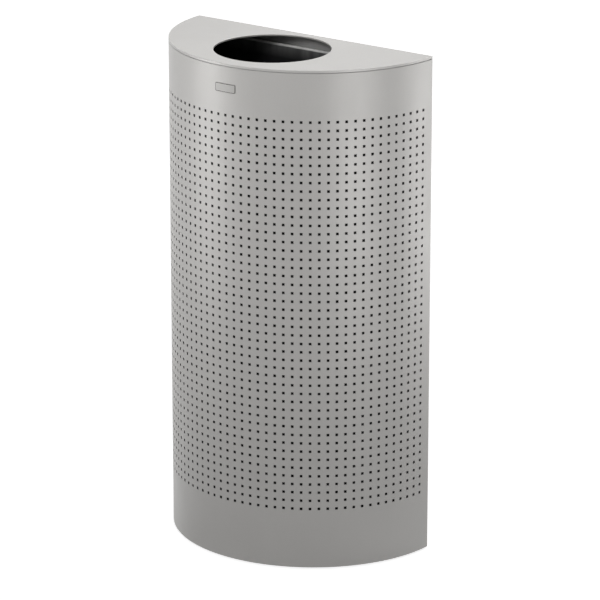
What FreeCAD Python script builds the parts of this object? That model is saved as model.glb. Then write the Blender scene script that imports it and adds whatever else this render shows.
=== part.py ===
import FreeCAD, Part
import math
import os

# Half-round waste bin of perforated sheet steel, in millimetres.
# +Z is up and the curved front faces -Y. The origin is on the floor, under the middle of the bin's box.
# Each piece is drawn round the axis of the half round, which stands in the plane of the flat back.

# Overall size
radius = 228.6
height = 812.8
sheet = 1.0

# Clearances
lap_gap = 0.5
lid_seam = 0.8
liner_clearance = 2.0
rim_drop = 17.8
panel_side_gap = 1.5
plate_glue = 0.2

# Perforated front
corner_bend = 2.0
return_width = 16.0
hole_side = 4.2
hole_column_pitch = 14.0
hole_row_pitch = 13.68
hole_side_margin = 15.0
lowest_row_height = 102.0
top_band = 76.0
# The sheet is punched at every pitch. One hole in this many each way is cut here, at its true size and place.
cut_every = 4

# Rolled pieces inside the shell
lining_corner = 6.0

# Top ledge
ledge_width = 9.0
ledge_leg = 22.0
ledge_bend = 1.6

# Lid
lid_edge = 4.0
lid_edge_bevel = 1.0
opening_diameter = 184.0
opening_setback = 108.0
opening_hem = 2.6
opening_bevel = 0.6

# Base pan
base_height = 15.0
base_sheet = 1.2
base_flange = 11.0
base_bend = 2.0

# Liner
liner_wall = 2.5
liner_corner = 26.0
liner_bevel = 4.0
liner_ring_width = 14.0
liner_ring_depth = 6.0
rim_overhang = 5.0
rim_depth = 11.0
rim_wall = 2.2
rim_bevel = 1.0

# Feet
body_lift = 3.0
front_foot_angle = 27.0
foot_margin = 30.0
foot_diameter = 24.0

# Front plate
plate_width = 38.0
plate_height = 14.0
plate_thickness = 0.8
plate_corner = 2.0
plate_drop = 38.3

# Places that several pieces share
body_top = height - lid_edge - lid_seam
panel_face = 2 * sheet
lining_radius = radius - sheet - lap_gap
ledge_top = height - sheet
liner_top = height - rim_drop
rim_radius = lining_radius - ledge_width - liner_clearance
rim_chord = panel_face + ledge_width + liner_clearance
liner_radius = rim_radius - rim_overhang
liner_chord = rim_chord + rim_overhang
recess_radius = liner_radius - liner_ring_width
recess_chord = liner_chord + liner_ring_width
axis_y = (radius + plate_glue + plate_thickness) / 2

up = FreeCAD.Vector(0, 0, 1)
back = FreeCAD.Vector(0, 1, 0)
axis = FreeCAD.Vector(0, 0, 0)


def outline(arc_radius, chord, corner, z):
    """Half round at one height: the front arc, a straight back set in by chord, and two round corners."""
    corner_x = math.sqrt((arc_radius - corner) ** 2 - (chord + corner) ** 2)
    centre = FreeCAD.Vector(corner_x, -chord - corner, z)
    side = FreeCAD.Vector(centre.x, centre.y, 0).normalize()
    diagonal = (back + side).normalize()
    right = [centre + direction * corner for direction in (back, diagonal, side)]
    left = [FreeCAD.Vector(-point.x, point.y, point.z) for point in reversed(right)]
    front = FreeCAD.Vector(0, -arc_radius, z)
    edges = [
        Part.Arc(*right),
        Part.Arc(right[-1], front, left[0]),
        Part.Arc(*left),
        Part.LineSegment(left[-1], right[0]),
    ]
    return Part.Wire([edge.toShape() for edge in edges])


def slab(arc_radius, chord, corner, bottom, top):
    """Upright half-round block between two heights."""
    return Part.Face(outline(arc_radius, chord, corner, bottom)).extrude(up * (top - bottom))


def level_edges(solid, z):
    """Edges of a solid that lie at one height."""
    return [edge for edge in solid.Edges if max(abs(vertex.Z - z) for vertex in edge.Vertexes) < 1e-6]


def pan(arc_radius, chord, corner, thickness, bottom, top):
    """Half-round sheet pan, open below, with its edge turned down all round."""
    outside = slab(arc_radius, chord, corner, bottom, top)
    inside = slab(arc_radius - thickness, chord + thickness, corner - thickness, bottom, top - thickness)
    return outside.cut(inside)


def disc(x, y, diameter, bottom, top):
    """Upright round block between two heights."""
    return Part.makeCylinder(diameter / 2, top - bottom, FreeCAD.Vector(x, y, bottom))


def hole_places():
    """Angle about the axis and height of each hole that is cut in the front."""
    half_arc = radius * math.pi / 2
    columns_each_side = int((half_arc - hole_side_margin) / hole_column_pitch)
    rows = int((height - top_band - lowest_row_height) / hole_row_pitch) + 1
    outermost = columns_each_side // cut_every * cut_every
    for column in range(-outermost, outermost + 1, cut_every):
        for row in range((rows - 1) % cut_every // 2, rows, cut_every):
            yield column * hole_column_pitch / radius, lowest_row_height + row * hole_row_pitch


def punch(angle, z):
    """Square punch through the curved wall at one place."""
    corner = FreeCAD.Vector(-hole_side / 2, -radius - sheet, z - hole_side / 2)
    cutter = Part.makeBox(hole_side, 3 * sheet, hole_side, corner)
    cutter.rotate(axis, up, math.degrees(angle))
    return cutter


def perforated_front():
    """Rolled and punched sheet with a narrow return at each back corner."""
    shell = slab(radius, 0, corner_bend, body_lift, body_top)
    shell = shell.cut(slab(radius - sheet, sheet, corner_bend - sheet, body_lift, body_top))
    gap_half = radius - return_width
    gap_corner = FreeCAD.Vector(-gap_half, -2 * sheet, body_lift)
    shell = shell.cut(Part.makeBox(2 * gap_half, 3 * sheet, body_top - body_lift, gap_corner))
    return shell.cut(Part.makeCompound([punch(angle, z) for angle, z in hole_places()]))


def back_panel():
    """Flat sheet against the inside of the two returns."""
    half = radius - sheet - panel_side_gap
    corner = FreeCAD.Vector(-half, -panel_face, body_lift)
    return Part.makeBox(2 * half, sheet, body_top - body_lift, corner)


def top_ledge():
    """Rolled angle whose upper part stands proud of the shell, inside the edge of the lid."""
    band = pan(lining_radius, panel_face, lining_corner, sheet, ledge_top - ledge_leg, ledge_top)
    band = band.makeChamfer(ledge_bend, level_edges(band, ledge_top))
    mouth_radius = lining_radius - ledge_width
    mouth_chord = panel_face + ledge_width
    return band.cut(slab(mouth_radius, mouth_chord, lining_corner, ledge_top - ledge_leg, ledge_top))


def base_pan():
    """Floor of the shell, with its edge turned down."""
    bottom = base_height - base_flange
    floor = pan(lining_radius, panel_face, lining_corner, base_sheet, bottom, base_height)
    return floor.makeChamfer(base_bend, level_edges(floor, base_height))


def lid():
    """Flat top with a short turned-down edge and a round opening with a turned edge."""
    top = pan(radius, 0, corner_bend, sheet, height - lid_edge, height)
    top = top.makeChamfer(lid_edge_bevel, level_edges(top, height))
    hem_bottom = height - opening_hem
    top = top.fuse(disc(0, -opening_setback, opening_diameter + 2 * sheet, hem_bottom, height))
    top = top.cut(disc(0, -opening_setback, opening_diameter, hem_bottom, height)).removeSplitter()
    mouth = [edge for edge in level_edges(top, height) if edge.isClosed()]
    return top.makeChamfer(opening_bevel, mouth)


def liner():
    """Plastic tub with an inverted-U rim, standing on a ring round its raised floor."""
    tub = slab(liner_radius, liner_chord, liner_corner, base_height, liner_top)
    tub = tub.makeChamfer(liner_bevel, level_edges(tub, base_height))
    rim_bottom = liner_top - rim_depth
    rim_corner = liner_corner + rim_overhang
    rim = slab(rim_radius, rim_chord, rim_corner, rim_bottom, liner_top)
    rim = rim.makeChamfer(rim_bevel, level_edges(rim, liner_top))
    groove_corner = rim_corner - rim_wall
    groove_top = liner_top - rim_wall
    rim = rim.cut(slab(rim_radius - rim_wall, rim_chord + rim_wall, groove_corner, rim_bottom, groove_top))
    floor = base_height + liner_wall
    inside_corner = liner_corner - liner_wall
    inside = slab(liner_radius - liner_wall, liner_chord + liner_wall, inside_corner, floor, liner_top)
    raised_top = floor + liner_ring_depth
    raised = slab(recess_radius + liner_wall, recess_chord - liner_wall, inside_corner, base_height, raised_top)
    recess_corner = inside_corner - liner_wall
    recess = slab(recess_radius, recess_chord, recess_corner, base_height, raised_top - liner_wall)
    return tub.fuse(rim).cut(inside).fuse(raised).cut(recess).removeSplitter()


def foot_places():
    """Place of each foot, well inside the flange of the base pan."""
    inset = base_sheet + foot_margin + foot_diameter / 2
    reach = lining_radius - inset
    back_y = -panel_face - inset
    back_x = math.sqrt(reach ** 2 - back_y ** 2)
    front_x = reach * math.sin(math.radians(front_foot_angle))
    front_y = -reach * math.cos(math.radians(front_foot_angle))
    return {
        "foot_front_left": (-front_x, front_y),
        "foot_front_right": (front_x, front_y),
        "foot_back_left": (-back_x, back_y),
        "foot_back_right": (back_x, back_y),
    }


def foot(x, y):
    """Round rubber foot, glued under the floor of the base pan."""
    return disc(x, y, foot_diameter, 0, base_height - base_sheet)


def front_plate():
    """Small blank plate, curved to the wall and glued to the upper band."""
    inner = radius + plate_glue
    bottom = height - plate_drop - plate_height / 2
    band = Part.makeCylinder(inner + plate_thickness, plate_height, FreeCAD.Vector(0, 0, bottom))
    band = band.cut(Part.makeCylinder(inner, plate_height, FreeCAD.Vector(0, 0, bottom)))
    corner = FreeCAD.Vector(-plate_width / 2, -radius - plate_width, bottom)
    blank = Part.makeBox(plate_width, 2 * plate_width, plate_height, corner)
    blank = blank.makeFillet(plate_corner, [edge for edge in blank.Edges if edge.BoundBox.YLength > plate_width])
    return band.common(blank)


def all_pieces():
    """Every piece of the bin by its name."""
    pieces = {
        "perforated_front": perforated_front(),
        "back_panel": back_panel(),
        "top_ledge": top_ledge(),
        "base_pan": base_pan(),
        "lid": lid(),
        "liner": liner(),
        "front_plate": front_plate(),
    }
    for name, (x, y) in foot_places().items():
        pieces[name] = foot(x, y)
    return pieces


os.makedirs("parts", exist_ok=True)
for name, shape in all_pieces().items():
    placed = shape.translated(FreeCAD.Vector(0, axis_y, 0))
    placed.exportStep("parts/" + name + ".step")
    box = placed.BoundBox
    print(name, placed.isValid(), len(placed.Solids), round(placed.Volume), box)
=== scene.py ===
"""Looks of a half-round waste bin of perforated steel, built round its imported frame, in metres."""
import logging
import math
from abc import ABC, abstractmethod
from collections.abc import Sequence
from dataclasses import dataclass
from enum import Enum
from functools import cache
from typing import ClassVar

import bpy
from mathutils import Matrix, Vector


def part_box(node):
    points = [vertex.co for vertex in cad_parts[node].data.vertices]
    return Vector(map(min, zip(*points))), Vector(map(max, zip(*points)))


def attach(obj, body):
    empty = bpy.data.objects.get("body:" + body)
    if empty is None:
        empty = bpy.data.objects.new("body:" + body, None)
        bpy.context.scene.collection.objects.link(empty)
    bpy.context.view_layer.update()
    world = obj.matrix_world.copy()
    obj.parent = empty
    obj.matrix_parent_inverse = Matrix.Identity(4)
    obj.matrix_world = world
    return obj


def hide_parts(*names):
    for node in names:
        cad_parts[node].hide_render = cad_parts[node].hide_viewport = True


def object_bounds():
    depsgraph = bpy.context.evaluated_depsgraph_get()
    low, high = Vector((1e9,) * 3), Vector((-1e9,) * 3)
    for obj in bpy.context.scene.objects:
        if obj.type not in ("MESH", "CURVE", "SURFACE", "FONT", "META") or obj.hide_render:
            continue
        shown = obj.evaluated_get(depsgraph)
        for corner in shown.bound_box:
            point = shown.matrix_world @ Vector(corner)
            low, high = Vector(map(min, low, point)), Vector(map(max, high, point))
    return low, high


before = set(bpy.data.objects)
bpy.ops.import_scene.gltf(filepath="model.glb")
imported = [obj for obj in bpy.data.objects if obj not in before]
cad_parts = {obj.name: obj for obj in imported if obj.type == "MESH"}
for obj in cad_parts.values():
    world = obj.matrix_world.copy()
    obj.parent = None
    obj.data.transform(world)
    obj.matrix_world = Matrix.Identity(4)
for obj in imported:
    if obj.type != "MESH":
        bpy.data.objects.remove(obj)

CAD_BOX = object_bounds()
LOG = logging.getLogger("waste_bin")
MM = 0.001

# The axis of the half round stands in the plane of the flat back.
AXIS_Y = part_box("perforated_front")[1].y
TOP = CAD_BOX[1].z
RADIUS = 228.6 * MM
SHEET = 1.0 * MM

Place = tuple[float, float, float]
Direction = tuple[float, float, float]
Colour = tuple[float, float, float]
Opaque = tuple[float, float, float, float]
Spot = tuple[float, float]
Span = tuple[float, float]
Cell = list[tuple[int, int]]
Socket = bpy.types.NodeSocket
Value = float | Socket
Tint = Opaque | Socket

WHITE: Opaque = (1.0, 1.0, 1.0, 1.0)
FULL: Span = (0.0, 1.0)
# Most of a noise pattern lies between these two values.
USUAL: Span = (0.3, 0.7)


class Body(Enum):
    """Bodies that the pieces ride on."""

    SHELL = "shell"
    LINER = "liner"
    LID = "lid"


class Slot(Enum):
    """Material slots of the record."""

    SHELL = "shell_steel"
    LID = "lid_steel"
    PLATE = "plate_steel"
    LINER = "liner_plastic"


class Facing(Enum):
    """Whether an outline's outward direction points away from its middle or into it."""

    AWAY = -1
    INTO = 1


class Operation(Enum):
    """What a node does with its values."""

    ADD = "ADD"
    SUBTRACT = "SUBTRACT"
    MULTIPLY = "MULTIPLY"
    ABSOLUTE = "ABSOLUTE"
    MAXIMUM = "MAXIMUM"
    DISTANCE = "DISTANCE"
    LENGTH = "LENGTH"


@dataclass(frozen=True)
class Pattern:
    """Noise pattern over a surface.

    Attributes:
        scale: Features to the metre.
        detail: Finer layers on top of the first.
        stretch: Scale along each axis, so that a grain can run one way.
        depth: Depth of its bump.
        strength: Share of its bump that is used.
    """

    scale: float
    detail: float
    stretch: Direction = (1.0, 1.0, 1.0)
    depth: float = 0.0
    strength: float = 0.0


@dataclass(frozen=True)
class RubbedEdge:
    """Upright round edge that hands rub, by its middle and its radius."""

    x: float
    y: float
    radius: float


class NodePad:
    """Node tree in the making, with short calls for its nodes and links."""

    def __init__(self, tree: bpy.types.NodeTree) -> None:
        """Starts with an empty tree."""
        self.tree = tree
        self.tree.nodes.clear()

    def add(self, kind: str, inputs: dict[str | int, object], **settings: object) -> bpy.types.Node:
        """Adds a node.

        Args:
            kind: Type of the node, without the words that all the types start with.
            inputs: A plain value or another node's output for each input that is named.
            **settings: Properties of the node, which are set before its inputs.

        Returns:
            The new node.
        """
        node = self.tree.nodes.new("ShaderNode" + kind)
        for name, setting in settings.items():
            setattr(node, name, setting.value if isinstance(setting, Enum) else setting)
        for key, value in inputs.items():
            if isinstance(value, Socket):
                self.tree.links.new(value, node.inputs[key])
            else:
                node.inputs[key].default_value = value
        return node

    def math(self, operation: Operation, first: Value, second: Value = 0.0) -> Socket:
        """Works on one value or two."""
        return self.add("Math", {0: first, 1: second}, operation=operation).outputs[0]

    def plus(self, first: Value, second: Value) -> Socket:
        """Adds two values."""
        return self.math(Operation.ADD, first, second)

    def less(self, first: Value, second: Value) -> Socket:
        """Takes the second value from the first."""
        return self.math(Operation.SUBTRACT, first, second)

    def times(self, first: Value, second: Value) -> Socket:
        """Multiplies two values."""
        return self.math(Operation.MULTIPLY, first, second)

    def spread(self, value: Socket, onto: Span, over: Span = USUAL) -> Socket:
        """Maps a value from one range onto another, held at both ends."""
        ends = {"From Min": over[0], "From Max": over[1], "To Min": onto[0], "To Max": onto[1]}
        return self.add("MapRange", {"Value": value, **ends}).outputs["Result"]

    def seen_rays(self) -> Socket:
        """Tells rays of the camera, of reflections and through glass from the rays that bring light.

        Returns:
            An output that is 1 for rays that see and 0 for the rest.
        """
        rays = self.add("LightPath", {}).outputs
        passed_on = self.math(Operation.MAXIMUM, rays["Is Glossy Ray"], rays["Is Transmission Ray"])
        return self.math(Operation.MAXIMUM, rays["Is Camera Ray"], passed_on)

    def end(self, kind: str, shader: bpy.types.Node) -> None:
        """Ends the tree in an output node of some kind."""
        self.add(kind, {"Surface": shader.outputs[0]})


class Mixer(NodePad):
    """Material in the making, with short calls for patterns over the surface."""

    def __init__(self, name: str) -> None:
        """Starts a material whose patterns lie fixed on the piece.

        Args:
            name: Name of the material.
        """
        self.material = bpy.data.materials.new(name)
        self.material.use_nodes = True
        super().__init__(self.material.node_tree)
        self.place = self.add("TexCoord", {}).outputs["Object"]

    def noise(self, pattern: Pattern) -> Socket:
        """Adds a noise pattern.

        Args:
            pattern: The pattern's scale, detail and stretch.

        Returns:
            The pattern's output, about 0.5 on average.
        """
        place = self.add("Mapping", {"Vector": self.place, "Scale": pattern.stretch}).outputs["Vector"]
        inputs = {"Vector": place, "Scale": pattern.scale, "Detail": pattern.detail}
        return self.add("TexNoise", inputs).outputs["Fac"]

    def around(self, value: Socket, middle: float, swing: Span) -> Socket:
        """Maps a pattern onto a range about a middle value."""
        return self.spread(value, (middle + swing[0], middle + swing[1]))

    def blend(self, share: Socket, first: Tint, second: Tint) -> Socket:
        """Mixes two colours by the share of the second."""
        return self.add("Mix", {"Factor": share, "A": first, "B": second}, data_type="RGBA").outputs["Result"]

    def height(self) -> Socket:
        """Height above the floor when the bin is at rest."""
        return self.add("SeparateXYZ", {0: self.place}).outputs["Z"]

    def ring(self, edge: RubbedEdge, width: float) -> Socket:
        """Marks a round edge at every height.

        Args:
            edge: The edge to mark.
            width: How far from the edge the mark fades out.

        Returns:
            An output that is 1 on the edge and 0 away from it.
        """
        level = self.add("VectorMath", {0: self.place, 1: (1, 1, 0)}, operation=Operation.MULTIPLY)
        ends = {0: level.outputs["Vector"], 1: (edge.x, edge.y, 0)}
        reach = self.add("VectorMath", ends, operation=Operation.DISTANCE).outputs["Value"]
        off = self.math(Operation.ABSOLUTE, self.less(reach, edge.radius))
        return self.spread(off, (1.0, 0.0), (0.0, width))

    def bump(self, height: Socket, pattern: Pattern, under: Socket | None = None) -> Socket:
        """Adds the bump of a pattern.

        Args:
            height: The pattern's output.
            pattern: The pattern's depth and strength.
            under: Bump that this one lies on.

        Returns:
            The normal's output.
        """
        inputs = {"Height": height, "Distance": pattern.depth, "Strength": pattern.strength}
        if under is not None:
            inputs["Normal"] = under
        return self.add("Bump", inputs).outputs["Normal"]

    def coat(self, colour: Tint, roughness: Socket, normal: Socket, metallic: float = 0.0) -> None:
        """Ends the material in one shader."""
        inputs = {"Base Color": colour, "Roughness": roughness, "Normal": normal, "Metallic": metallic}
        self.end("OutputMaterial", self.add("BsdfPrincipled", inputs))


def toned(colour: Colour, tone: float = 1.0) -> Opaque:
    """A colour made lighter or darker by a factor, with full alpha."""
    return (*(min(1.0, part * tone) for part in colour), 1.0)


@dataclass(frozen=True)
class Finish(ABC):
    """What all the finishes have.

    Attributes:
        name: Name of the material.
        colour: Middle colour, linear.
        roughness: Middle roughness.
    """

    name: str
    colour: Colour
    roughness: float

    @abstractmethod
    def mix(self, mixer: Mixer) -> None:
        """Fills the new material."""

    @cache
    def material(self) -> bpy.types.Material:
        """Makes the node material when it is first asked for.

        Returns:
            The material.
        """
        mixer = Mixer(self.name)
        self.mix(mixer)
        return mixer.material


@dataclass(frozen=True)
class SilverPaint(Finish):
    """Satin silver paint on sheet steel: metal flake, a faint orange peel, cloudy gloss and rubbed edges.

    Attributes:
        metallic: How much of the surface is metal.
        cloud: Slow change over the sheet.
        flake: Metal flake.
        peel: Orange peel.
        handling: Marks that hands leave.
        cloud_tones: Darkest and lightest tone of the clouds.
        flake_tone: Tone of a dark flake.
        flake_share: Least and most of the dark flake.
        cloud_gloss: How far the clouds change the roughness.
        flake_gloss: How far the flake changes the roughness.
        handling_gloss: How far hands change the roughness.
        rubbed: Edges that hands rub.
        rub_width: How far the rubbing fades from an edge.
        rub_share: Least and most of the rubbing along an edge.
        rub_tone: Tone of rubbed paint.
        rub_gloss: How much smoother rubbed paint is.
    """

    metallic: float = 0.22
    cloud: Pattern = Pattern(7.0, 4.0)
    flake: Pattern = Pattern(1500.0, 1.0, depth=0.03 * MM, strength=0.12)
    peel: Pattern = Pattern(330.0, 2.0, depth=0.05 * MM, strength=0.25)
    handling: Pattern = Pattern(24.0, 5.0, (1.0, 1.0, 0.5))
    cloud_tones: Span = (0.965, 1.035)
    flake_tone: float = 0.86
    flake_share: Span = (0.0, 0.4)
    cloud_gloss: Span = (-0.03, 0.03)
    flake_gloss: Span = (-0.03, 0.03)
    handling_gloss: Span = (-0.03, 0.04)
    rubbed: tuple[RubbedEdge, ...] = ()
    rub_width: float = 2.4 * MM
    rub_share: Span = (0.2, 0.9)
    rub_tone: float = 1.05
    rub_gloss: float = 0.06

    def mix(self, mixer: Mixer) -> None:
        """Fills the new material.

        Args:
            mixer: Material to fill.
        """
        cloud, flake = mixer.noise(self.cloud), mixer.noise(self.flake)
        handling = mixer.noise(self.handling)
        dark, light = (toned(self.colour, tone) for tone in self.cloud_tones)
        dark_flake = toned(self.colour, self.flake_tone)
        colour = mixer.blend(mixer.spread(cloud, FULL), dark, light)
        colour = mixer.blend(mixer.spread(flake, self.flake_share), colour, dark_flake)
        gloss = mixer.plus(mixer.spread(cloud, self.cloud_gloss), mixer.spread(handling, self.handling_gloss))
        gloss = mixer.plus(gloss, mixer.around(flake, self.roughness, self.flake_gloss))
        for edge in self.rubbed:
            worn = mixer.times(mixer.ring(edge, self.rub_width), mixer.spread(handling, self.rub_share))
            colour = mixer.blend(worn, colour, toned(self.colour, self.rub_tone))
            gloss = mixer.less(gloss, mixer.times(worn, self.rub_gloss))
        grain = mixer.bump(flake, self.flake)
        surface = mixer.bump(mixer.noise(self.peel), self.peel, grain)
        mixer.coat(colour, gloss, surface, self.metallic)


@dataclass(frozen=True)
class BrushedSteel(Finish):
    """Bare steel with a fine straight grain along the plate.

    Attributes:
        metallic: How much of the surface is metal.
        grain: Brushed grain.
        cloud: Slow change over the plate.
        grain_tones: Darkest and lightest tone of the grain.
        grain_gloss: How far the grain changes the roughness.
        cloud_gloss: How far the clouds change the roughness.
    """

    metallic: float = 0.4
    grain: Pattern = Pattern(60.0, 3.0, (1.0, 1.0, 90.0), 0.02 * MM, 0.3)
    cloud: Pattern = Pattern(90.0, 2.0)
    grain_tones: Span = (0.88, 1.1)
    grain_gloss: Span = (-0.06, 0.08)
    cloud_gloss: Span = (-0.03, 0.03)

    def mix(self, mixer: Mixer) -> None:
        """Fills the new material.

        Args:
            mixer: Material to fill.
        """
        grain, cloud = mixer.noise(self.grain), mixer.noise(self.cloud)
        dark, light = (toned(self.colour, tone) for tone in self.grain_tones)
        colour = mixer.blend(mixer.spread(grain, FULL), dark, light)
        gloss = mixer.around(grain, self.roughness, self.grain_gloss)
        gloss = mixer.plus(gloss, mixer.spread(cloud, self.cloud_gloss))
        mixer.coat(colour, gloss, mixer.bump(grain, self.grain), self.metallic)


@dataclass(frozen=True)
class MouldedPlastic(Finish):
    """Black moulded plastic with a fine grain and upright scuffs, worn smoother along its upper edge, with a
    painted highlight on that edge and painted light just under it.

    Attributes:
        crown: Height of the upper edge.
        grain: Fine moulded grain.
        scuff: Upright scuffs.
        cloud: Slow change over the wall.
        patch: Patches of wear along the upper edge.
        scuff_over: Values of the scuffs between which they show more and more.
        scuff_share: Least and most of the scuffs.
        scuff_tone: Tone of a scuff.
        scuff_gloss: How far the scuffs change the roughness.
        gloss_over: Values of the scuffs between which the roughness changes.
        cloud_share: Least and most of the scuffs that the clouds let show.
        cloud_gloss: How far the clouds change the roughness.
        scuff_and_painted_light_colour: Colour of the lighter zone under the upper edge: scuffs, and painted
            light on the upper wall.
        scuff_and_painted_light_depth: How far down that zone fades out.
        scuff_and_painted_light_share: Least and most of its scuffs.
        painted_highlight_colour: Pale colour painted along the upper edge as a highlight.
        wear_and_painted_highlight_depths: Depths at which the wear and the painted highlight fade out and at
            which they are full.
        wear_and_painted_highlight_share: Least and most of the wear and the painted highlight along the edge.
        worn_gloss: How much smoother the worn edge is.
    """

    crown: float
    grain: Pattern = Pattern(900.0, 2.0, depth=0.06 * MM, strength=0.3)
    scuff: Pattern = Pattern(70.0, 4.0, (1.0, 1.0, 0.06))
    cloud: Pattern = Pattern(9.0, 3.0)
    patch: Pattern = Pattern(40.0, 4.0)
    scuff_over: Span = (0.5, 0.75)
    scuff_share: Span = (0.0, 0.5)
    scuff_tone: float = 2.5
    scuff_gloss: Span = (-0.04, 0.1)
    gloss_over: Span = (0.45, 0.75)
    cloud_share: Span = (0.3, 1.0)
    cloud_gloss: Span = (-0.03, 0.03)
    scuff_and_painted_light_colour: Colour = (0.18, 0.18, 0.177)
    scuff_and_painted_light_depth: float = 22.0 * MM
    scuff_and_painted_light_share: Span = (0.4, 1.0)
    # Pale colour along the rim's crown is a painted highlight; the smoother roughness there is wear.
    painted_highlight_colour: Colour = (0.85, 0.85, 0.83)
    wear_and_painted_highlight_depths: Span = (3.0 * MM, 0.5 * MM)
    wear_and_painted_highlight_share: Span = (0.6, 1.0)
    worn_gloss: float = 0.1

    def mix(self, mixer: Mixer) -> None:
        """Fills the new material.

        Args:
            mixer: Material to fill.
        """
        scuff, cloud = mixer.noise(self.scuff), mixer.noise(self.cloud)
        height = mixer.height()
        scuffed = mixer.spread(scuff, self.scuff_share, self.scuff_over)
        scuffed = mixer.times(scuffed, mixer.spread(cloud, self.cloud_share))
        # Zone under the rim made lighter: scuffs, and painted light on the upper wall.
        upper = mixer.spread(height, FULL, (self.crown - self.scuff_and_painted_light_depth, self.crown))
        upper = mixer.times(upper, mixer.spread(scuff, self.scuff_and_painted_light_share))
        fades, full = (self.crown - depth for depth in self.wear_and_painted_highlight_depths)
        worn = mixer.spread(height, FULL, (fades, full))
        worn = mixer.times(worn, mixer.spread(mixer.noise(self.patch), self.wear_and_painted_highlight_share))
        colour = mixer.blend(scuffed, toned(self.colour), toned(self.colour, self.scuff_tone))
        colour = mixer.blend(upper, colour, toned(self.scuff_and_painted_light_colour))
        # The pale crown is a painted highlight; the lower roughness below is wear.
        colour = mixer.blend(worn, colour, toned(self.painted_highlight_colour))
        gloss = mixer.spread(scuff, self.scuff_gloss, self.gloss_over)
        gloss = mixer.plus(gloss, mixer.around(cloud, self.roughness, self.cloud_gloss))
        gloss = mixer.less(gloss, mixer.times(worn, self.worn_gloss))
        mixer.coat(colour, gloss, mixer.bump(mixer.noise(self.grain), self.grain))


@dataclass(frozen=True)
class MatteRubber(Finish):
    """Matte black rubber, a little dusty.

    Attributes:
        dust: Dust on the rubber.
        pore: Fine pores.
        dust_share: Least and most of the dust.
        dust_tone: Tone of the dust.
        dust_gloss: How far the dust changes the roughness.
    """

    dust: Pattern = Pattern(160.0, 4.0)
    pore: Pattern = Pattern(1800.0, 2.0, depth=0.05 * MM, strength=0.35)
    dust_share: Span = (0.0, 0.7)
    dust_tone: float = 2.8
    dust_gloss: Span = (-0.08, 0.1)

    def mix(self, mixer: Mixer) -> None:
        """Fills the new material.

        Args:
            mixer: Material to fill.
        """
        dust = mixer.noise(self.dust)
        dusty = mixer.spread(dust, self.dust_share)
        colour = mixer.blend(dusty, toned(self.colour), toned(self.colour, self.dust_tone))
        gloss = mixer.around(dust, self.roughness, self.dust_gloss)
        mixer.coat(colour, gloss, mixer.bump(mixer.noise(self.pore), self.pore))


@dataclass(frozen=True)
class PaleFloor(Finish):
    """Matte floor that looks white far from the bin and keeps the bin's shadow.

    Attributes:
        glow: Light of its own near the bin, which only rays that see take up.
        fade: Distances from the middle between which that light rises to white.
    """

    glow: float
    fade: Span

    def mix(self, mixer: Mixer) -> None:
        """Fills the new material.

        Args:
            mixer: Material to fill.
        """
        reach = mixer.add("VectorMath", {0: mixer.place}, operation=Operation.LENGTH).outputs["Value"]
        strength = mixer.times(mixer.seen_rays(), mixer.spread(reach, (self.glow, 1.0), self.fade))
        matte = mixer.add("BsdfDiffuse", {"Color": toned(self.colour), "Roughness": self.roughness})
        light = mixer.add("Emission", {"Strength": strength})
        mixer.end("OutputMaterial", mixer.add("AddShader", {0: matte.outputs[0], 1: light.outputs[0]}))


# Colour and roughness of the satin paint on the shell and the lid.
SILVER: Colour = (0.53, 0.52, 0.505)
SATIN = 0.42
SHELL_PAINT = SilverPaint("shell_silver", SILVER, SATIN)
INNER_PAINT = SilverPaint("inner_silver", (0.42, 0.415, 0.41), 0.5)
# Near-black finish: on the walls of the holes it is painted shade; on the front plate it fills the sunk line.
HOLE_SHADE_AND_LINE_FILL = SilverPaint("hole_painted_shade_and_line_fill", (0.04, 0.039, 0.038), 0.6, metallic=0.0)
PLATE_STEEL = BrushedSteel("plate_brushed", (0.4, 0.393, 0.381), 0.45)
FOOT_RUBBER = MatteRubber("foot_black", (0.02, 0.02, 0.02), 0.8)


@dataclass(frozen=True)
class Station:
    """One place on a plan outline, with the outward direction there."""

    x: float
    y: float
    nx: float
    ny: float

    def point(self, inset: float, z: float) -> Place:
        """The place at a height, moved in from the outline."""
        return (self.x - self.nx * inset, self.y - self.ny * inset, z)

    def faced(self, out: float, up: float) -> Direction:
        """A direction given by its outward and its upward part."""
        return (self.nx * out, self.ny * out, up)

    def mirrored(self) -> "Station":
        """The same place on the other side of the bin."""
        return Station(-self.x, self.y, -self.nx, self.ny)


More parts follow.
